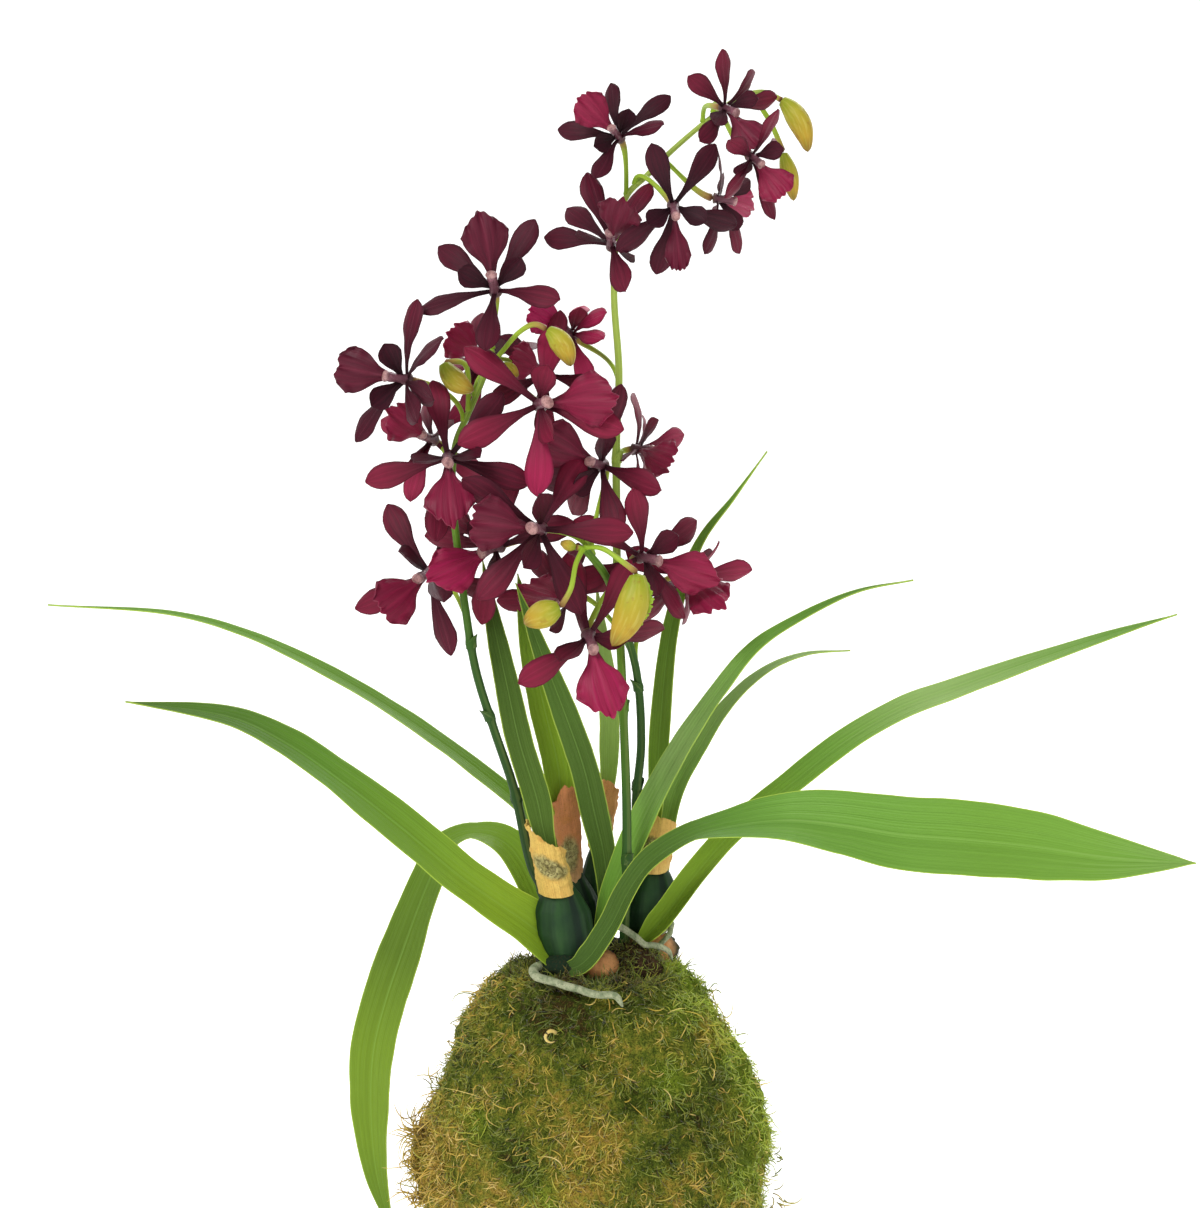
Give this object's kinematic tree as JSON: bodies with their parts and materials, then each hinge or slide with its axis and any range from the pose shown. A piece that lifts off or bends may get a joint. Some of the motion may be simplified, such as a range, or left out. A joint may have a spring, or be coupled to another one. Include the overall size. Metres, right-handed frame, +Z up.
{
  "type": "kokedama moss ball plant",
  "caption": "Orchid with wine-red sprays of flowers, strap leaves and pseudobulbs, growing from a ball of soil wrapped in living moss that stands on its own flat foot.",
  "frame": {"origin": "centre of the flat spot under the moss ball, on the surface that it rests on", "axes": "+Z up through the ball and the plant, -Y towards the side seen in front, +X to the right as seen from the front"},
  "size_m": [0.4723, 0.1602, 0.5123],
  "materials": {
    "soil": "damp crumbly potting soil",
    "moss": "living sheet moss, fuzzy, olive and yellow-green with dry brown strands",
    "rhizome": "knotty dry skin",
    "pseudobulb": "smooth and slightly waxy, with fine upright streaks",
    "sheath": "dry papery and torn",
    "leaf": "satin with fine parallel veins and pale edges",
    "root": "dull grey-green skin",
    "stem": "satin green, lime towards the flowers",
    "bloom": "velvety wine red, darker at the edges"
  },
  "bodies": {
    "root": {"pseudobulb_front_left": "pseudobulb", "pseudobulb_back_left": "pseudobulb", "pseudobulb_back": "pseudobulb", "pseudobulb_right": "pseudobulb", "rhizome": "rhizome", "root_front": "root", "root_right": "root", "root_far_right": "root", "soil_ball": "soil", "moss_coat": "moss", "sheath_front_left": "sheath", "sheath_back_left": "sheath", "sheath_back": "sheath", "sheath_right": "sheath", "bloom_01": "bloom", "bloom_02": "bloom", "bloom_03": "bloom", "bloom_04": "bloom", "bloom_05": "bloom", "bloom_06": "bloom", "bloom_07": "bloom", "bloom_08": "bloom", "bloom_09": "bloom", "bloom_10": "bloom", "bloom_11": "bloom", "bloom_12": "bloom", "bloom_13": "bloom", "bloom_14": "bloom", "bloom_15": "bloom", "bloom_16": "bloom", "bloom_17": "bloom", "bloom_18": "bloom", "bloom_19": "bloom", "bloom_20": "bloom", "bloom_21": "bloom", "bloom_22": "bloom", "bloom_23": "bloom", "flower_stem_left": "stem", "flower_stem_middle": "stem", "flower_stem_right": "stem", "leaf_far_left": "leaf", "leaf_front_left": "leaf", "leaf_drooping": "leaf", "leaf_upright_front": "leaf", "leaf_upright_back_left": "leaf", "leaf_upright_middle": "leaf", "leaf_upright_back": "leaf", "leaf_upright_right": "leaf", "leaf_right_inner": "leaf", "leaf_right_back": "leaf", "leaf_right_outer": "leaf", "leaf_front_right": "leaf"}
  },
  "joints": []
}
